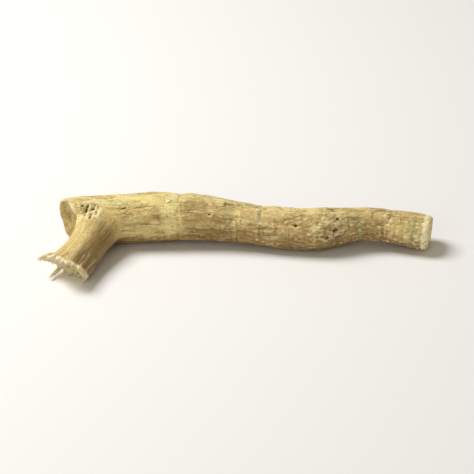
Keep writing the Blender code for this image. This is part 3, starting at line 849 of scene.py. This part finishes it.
def grow_strand(start, way, length, thickness, bend, taper, tip):
    """In edit mode: one strand, extruded from a small closed base. taper and tip say how it thins."""
    bpy.ops.mesh.primitive_circle_add(
        vertices=STRAND_SIDES,
        radius=0.5 * thickness * MM,
        fill_type="NGON",
        location=start * MM,
        rotation=way.to_track_quat("Z", "Y").to_euler(),
    )
    heading = way.normalized()
    place = start.copy()
    for step in range(STRAND_STEPS):
        heading = (heading + bend).normalized()
        move = heading * length / STRAND_STEPS
        place += move
        bpy.ops.mesh.extrude_region_move(TRANSFORM_OT_translate={"value": move * MM})
        shrink = taper if step < STRAND_STEPS - 1 else tip
        bpy.ops.transform.resize(value=(shrink,) * 3, center_override=place * MM)


def bend_flake(seed):
    """One flake, a millimetre long: rooted at -X, and curling up to a narrow ragged end at +X."""
    bpy.ops.object.select_all(action="DESELECT")
    bpy.ops.mesh.primitive_grid_add(x_subdivisions=4, y_subdivisions=5, size=MM)
    flake = bpy.context.object
    for edge, lift in ((-0.4, 0.03), (-0.1, 0.05), (0.15, 0.07), (0.4, 0.12)):
        bpy.ops.object.mode_set(mode="EDIT")
        bpy.ops.mesh.select_all(action="DESELECT")
        bpy.ops.object.mode_set(mode="OBJECT")
        for vertex in flake.data.vertices:
            vertex.select = vertex.co.x > edge * MM
        bpy.ops.object.mode_set(mode="EDIT")
        bpy.ops.transform.translate(value=(0.0, 0.0, lift * MM))
        bpy.ops.transform.resize(value=(1.0, 0.80, 1.0), center_override=(0.0, 0.0, 0.0))
        bpy.ops.transform.vertex_random(offset=0.12 * MM, seed=seed)
        bpy.ops.object.mode_set(mode="OBJECT")
    apply_modifier(flake, "SOLIDIFY", thickness=FLAKE_THICKNESS * MM, offset=-1.0)
    return flake


def number(name, description, default, **more):
    """A number that a user can change."""
    return bpy.props.FloatProperty(name=name, description=description, default=default, **more)


def millimetres(name, description, default, least=0.0):
    """A length that a user can change, from its value in millimetres."""
    return number(name, description, default * MM, min=least * MM, precision=5, unit="LENGTH")


class RootSizes(bpy.types.PropertyGroup):
    cell: millimetres("Skin cell", "Edge of one cell of the skin that is grown over the solid", 0.285, 0.2)
    smoothing: bpy.props.IntProperty(
        name="Smoothing",
        description="How often the new skin is smoothed before the relief is worked into it",
        default=7,
        min=0,
    )
    softness: number("Softness", "How far the solid's own relief is evened out", 0.55, min=0.0, max=1.0)
    lumps: millimetres("Lumps", "Height of the broad lumps of the bark", 0.25)
    wide: millimetres("Wide wrinkles", "Depth of the wide lengthwise wrinkles", 0.22)
    fine: millimetres("Fine wrinkles", "Depth of the fine lengthwise wrinkles", 0.12)
    crackle: millimetres("Crackle", "Depth of the short cracks across the bark", 0.09)
    flake: millimetres("Flaked bark", "How far the skin is sunk where outer bark has flaked off", 0.13)
    tooth: millimetres("Tooth", "Height of the rough grain of the bark", 0.07)


def tint(name, description, hex_colour):
    """A colour that a user can change, from its sRGB hex value."""
    return bpy.props.FloatVectorProperty(
        name=name,
        description=description,
        default=linear(hex_colour),
        size=4,
        min=0.0,
        max=1.0,
        subtype="COLOR",
    )


class RootTints(bpy.types.PropertyGroup):
    bark: tint("Bark", "Bark of the crown half", "#E9D089")
    grey_bark: tint("Tip bark", "Duller bark of the tip half", "#DABE80")
    tan: tint("Tan", "Cloudy darker tan in the bark", "#CEB072")
    # Straw is also the painted highlight along the top of the crown and the painted light on the side
    # root's lit side.
    straw: tint("Straw", "Pale streaks and the pale top of the crown", "#F7E59C")
    dusk: tint("Dusk", "Darker, finely cracked bark", "#B3965E")
    dust: tint("Dust", "Greenish-grey dust", "#BDB37C")
    flaked: tint("Flaked", "Peach tan where outer bark has come off", "#D8B581")
    # The underside colour is painted shade on the faces that turn downwards and on the side root's dark
    # side.
    under: tint("Underside", "Soil-brown underside", "#7F5A2A")
    # In furrows, hollows and creases this brown is partly dust and partly painted shade, and in the cut
    # faces' cracks it is painted shade.
    furrow: tint("Furrow", "Brown in the furrows", "#96773F")
    # On the ridges this cream is partly wear and partly a painted highlight.
    worn_pale_and_highlight: tint("Rubbed", "Pale cream on rubbed ridges and warts", "#F7EAB6")
    # The crack brown is also laid in streaks as painted shade on the low sides.
    crack: tint("Crack", "Dark brown in cracks and pits", "#6A4F2A")
    speck: tint("Speck", "Small dark specks", "#7C6234")
    chalk: tint("Chalk", "Chalky worn rim of the tip", "#FFF4C8")
    stump: tint("Stump", "Old cut face of the crown", "#B39C64")
    slice: tint("Slice", "Cut face of the tip", "#FCE8B0")
    slice_ring: tint("Slice ring", "Darker ring in the cut face", "#DEC685")
    bast: tint("Bast", "Torn inner bark", "#F5E6BE")
    core: tint("Core", "Greenish-yellow woody core in the tear", "#D6C97A")
    paper: tint("Paper", "The floor", "#F4F3F1")
    sky: tint("Sky", "Colour of the even light from all round", "#F8F0DF")


class StageSettings(bpy.types.PropertyGroup):
    lens: number("Lens", "Focal length of the camera, in mm", 170.0, unit="CAMERA")
    distance: number("Distance", "How far the camera is from the root's middle", 0.665, unit="LENGTH")
    elevation: number("Elevation", "How high the camera stands", math.radians(30), subtype="ANGLE")
    key: number("Key light", "Power of the large soft light over the crown", 5.2, unit="POWER")
    fill: number("Fill light", "Power of the weak light from the front and left", 1.3, unit="POWER")
    sky: number("Surroundings", "Strength of the even light from all round", 0.30)


class MESH_OT_grow_root_bark(bpy.types.Operator):
    """Grows the bark and both cut ends over the solid root"""

    bl_idname = "mesh.grow_root_bark"
    bl_label = "Grow bark"

    def execute(self, context):
        sizes = context.scene.root_sizes
        piece = skin_over(NODE, "root_surface", sizes.cell, sizes.smoothing)
        names = shape_bark(piece.data, sizes)
        piece.data.materials.append(bark_material(context.scene.root_tints, names))
        select_only(piece)
        bpy.ops.object.shade_smooth()
        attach(piece, BODY)
        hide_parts(NODE)
        return {"FINISHED"}


class MESH_OT_tear_root_fibres(bpy.types.Operator):
    """Stands strands of inner bark out of the torn end of the side root"""

    bl_idname = "mesh.tear_root_fibres"
    bl_label = "Tear fibres"

    def execute(self, context):
        draw = np.random.default_rng(SEED + 1)
        course = middle_line(SIDE_ROUTE)
        bpy.ops.object.select_all(action="DESELECT")
        bpy.ops.mesh.primitive_circle_add(vertices=3, radius=MM)
        piece = bpy.context.object
        piece.name = "torn_fibres"
        bpy.ops.object.mode_set(mode="EDIT")
        bpy.ops.mesh.select_all(action="SELECT")
        bpy.ops.mesh.delete(type="VERT")
        for _ in range(STRANDS):
            angle = draw.uniform(0, 2 * math.pi)
            share = math.sqrt(draw.uniform(0.05, 0.92))
            end, outward, heading = spot(course, math.inf, angle, 0.0)
            start = end + outward * share * STRANDS_REACH * (1 - SIDE_SQUASH * math.sin(angle) ** 2)
            start += heading * (tear_edge(angle) * share - 2.2 * (1 - share) ** 0.8 - 1.0)
            way = heading + 0.30 * share * outward + Vector(draw.normal(0, 0.12, 3))
            length = draw.uniform(*STRAND_LENGTHS) + STRAND_EXTRA * draw.random() ** 4
            bend = Vector(draw.normal(0, 0.10, 3))
            if start.z + way.z * length > STRAND_CLEARANCE:
                grow_strand(start, way, length, draw.uniform(*STRAND_WIDTHS), bend, 0.88, 0.25)
        angle = math.radians(SPLINTER_ANGLE)
        start, outward, heading = spot(course, math.inf, angle, SPLINTER_REACH)
        start += heading * (tear_edge(angle) - SPLINTER_SUNK)
        run = SPLINTER_RUN[0] * heading + SPLINTER_RUN[1] * outward
        grow_strand(start, run, run.length, SPLINTER_WIDTH, Vector((0.02, 0.0, 0.03)), 0.95, 0.55)
        bpy.ops.object.mode_set(mode="OBJECT")
        select_only(piece)
        bpy.ops.object.transform_apply(location=True, rotation=True, scale=True)
        bpy.ops.object.shade_smooth_by_angle(angle=math.radians(50))
        piece.data.materials.append(bast_material(context.scene.root_tints))
        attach(piece, BODY)
        return {"FINISHED"}


class MESH_OT_lift_root_flakes(bpy.types.Operator):
    """Lifts thin flakes of bark beside the ring cracks, and the pale chip near the crown"""

    bl_idname = "mesh.lift_root_flakes"
    bl_label = "Lift flakes"

    def execute(self, context):
        draw = np.random.default_rng(SEED + 2)
        tints = context.scene.root_tints
        surface = bpy.data.objects["root_surface"]
        skin = BVHTree.FromObject(surface, context.evaluated_depsgraph_get())
        course = middle_line(MAIN_ROUTE)
        bark, bast = flake_material(tints), bpy.data.materials["torn_bast"]
        flakes = [bend_flake(SEED + k) for k in range(FLAKE_SHAPES)]
        rows = [(*CHIP, bast)]
        for place, _, middle, half_arc in RING_CRACKS:
            for _ in range(FLAKES_AT_EACH if place > FLAKES_FROM else 0):
                angle = middle + half_arc * draw.uniform(-0.8, 0.8)
                length, width, lift = draw.uniform(*FLAKE_SIZES)
                facing = draw.choice((-1, 1))
                along = place - facing * (0.15 + 0.5 * length)
                rows.append((along, angle, facing, length, width, lift, bark))
        made = []
        for along, angle, facing, length, width, lift, material in rows:
            outside, out, ahead = spot(course, along, math.radians(angle), RAY_START)
            hit = skin.ray_cast(outside * MM, -out)[0]
            if hit is None:
                raise RuntimeError(f"no bark under the flake at {along:.1f} mm")
            if hit.z < FLAKES_OVER * MM:
                continue
            ahead = ahead * facing
            turned = Matrix((ahead * length, out.cross(ahead) * width, out * lift)).transposed()
            data = flakes[len(made) % FLAKE_SHAPES].data.copy()
            data.transform(Matrix.Translation(hit) @ turned.to_4x4())
            data.materials.append(material)
            made.append(bpy.data.objects.new("bark_flakes", data))
            context.scene.collection.objects.link(made[-1])
        for flake in flakes:
            bpy.data.objects.remove(flake)
        select_only(made[0])
        for one in made:
            one.select_set(True)
        bpy.ops.object.join()
        piece = bpy.context.object
        bpy.ops.object.shade_smooth_by_angle(angle=math.radians(50))
        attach(piece, BODY)
        return {"FINISHED"}


def aim(thing, target):
    thing.rotation_euler = (target - thing.location).to_track_quat("-Z", "Y").to_euler()


def soft_light(name, place, size, power):
    bpy.ops.object.light_add(type="AREA", location=place)
    light = bpy.context.object
    light.name = name
    light.data.shape = "RECTANGLE"
    light.data.size, light.data.size_y = size, size
    light.data.energy = power
    aim(light, TARGET)


class SCENE_OT_set_root_stage(bpy.types.Operator):
    """Lays the pale floor, hangs the soft lights and places the camera"""

    bl_idname = "scene.set_root_stage"
    bl_label = "Set stage"

    def execute(self, context):
        stage = context.scene.root_stage
        tints = context.scene.root_tints
        bpy.ops.object.select_all(action="DESELECT")
        bpy.ops.mesh.primitive_plane_add(size=FLOOR_SIZE)
        floor = bpy.context.object
        floor.name = "studio_floor"
        floor.data.materials.append(paper_material(tints))

        soft_light("key_light", KEY_PLACE, KEY_SIZE, stage.key)
        soft_light("fill_light", FILL_PLACE, FILL_SIZE, stage.fill)
        world = bpy.data.worlds.new("studio")
        world.use_nodes = True
        world.node_tree.nodes["Background"].inputs[0].default_value = tints.sky
        world.node_tree.nodes["Background"].inputs[1].default_value = stage.sky
        context.scene.world = world

        away = Vector((0.0, -math.cos(stage.elevation), math.sin(stage.elevation)))
        bpy.ops.object.camera_add(location=TARGET + stage.distance * away)
        camera = bpy.context.object
        camera.name = "studio_camera"
        camera.data.lens = stage.lens
        camera.data.clip_start = NEAREST_SEEN
        aim(camera, TARGET)
        context.scene.camera = camera
        context.scene.view_settings.view_transform = "Standard"
        return {"FINISHED"}


class VIEW3D_PT_dried_root(bpy.types.Panel):
    bl_idname = "VIEW3D_PT_dried_root"
    bl_label = "Dried root"
    bl_space_type = "VIEW_3D"
    bl_region_type = "UI"
    bl_category = "Dried root"

    def draw(self, context):
        scene = context.scene
        for group in (scene.root_sizes, scene.root_tints, scene.root_stage):
            box = self.layout.box()
            for name in group.__annotations__:
                box.prop(group, name)
        for operator in OPERATORS:
            self.layout.operator(operator.bl_idname)


OPERATORS = (
    MESH_OT_grow_root_bark,
    MESH_OT_tear_root_fibres,
    MESH_OT_lift_root_flakes,
    SCENE_OT_set_root_stage,
)
GROUPS = {"root_sizes": RootSizes, "root_tints": RootTints, "root_stage": StageSettings}
CLASSES = (*GROUPS.values(), *OPERATORS, VIEW3D_PT_dried_root)


def register():
    for made in CLASSES:
        bpy.utils.register_class(made)
    for name, group in GROUPS.items():
        setattr(bpy.types.Scene, name, bpy.props.PointerProperty(type=group))


def unregister():
    for name in GROUPS:
        delattr(bpy.types.Scene, name)
    for made in reversed(CLASSES):
        bpy.utils.unregister_class(made)


def main():
    register()
    bpy.ops.mesh.grow_root_bark()
    bpy.ops.mesh.tear_root_fibres()
    bpy.ops.mesh.lift_root_flakes()
    bpy.ops.scene.set_root_stage()
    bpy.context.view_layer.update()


if __name__ == "__main__":
    main()
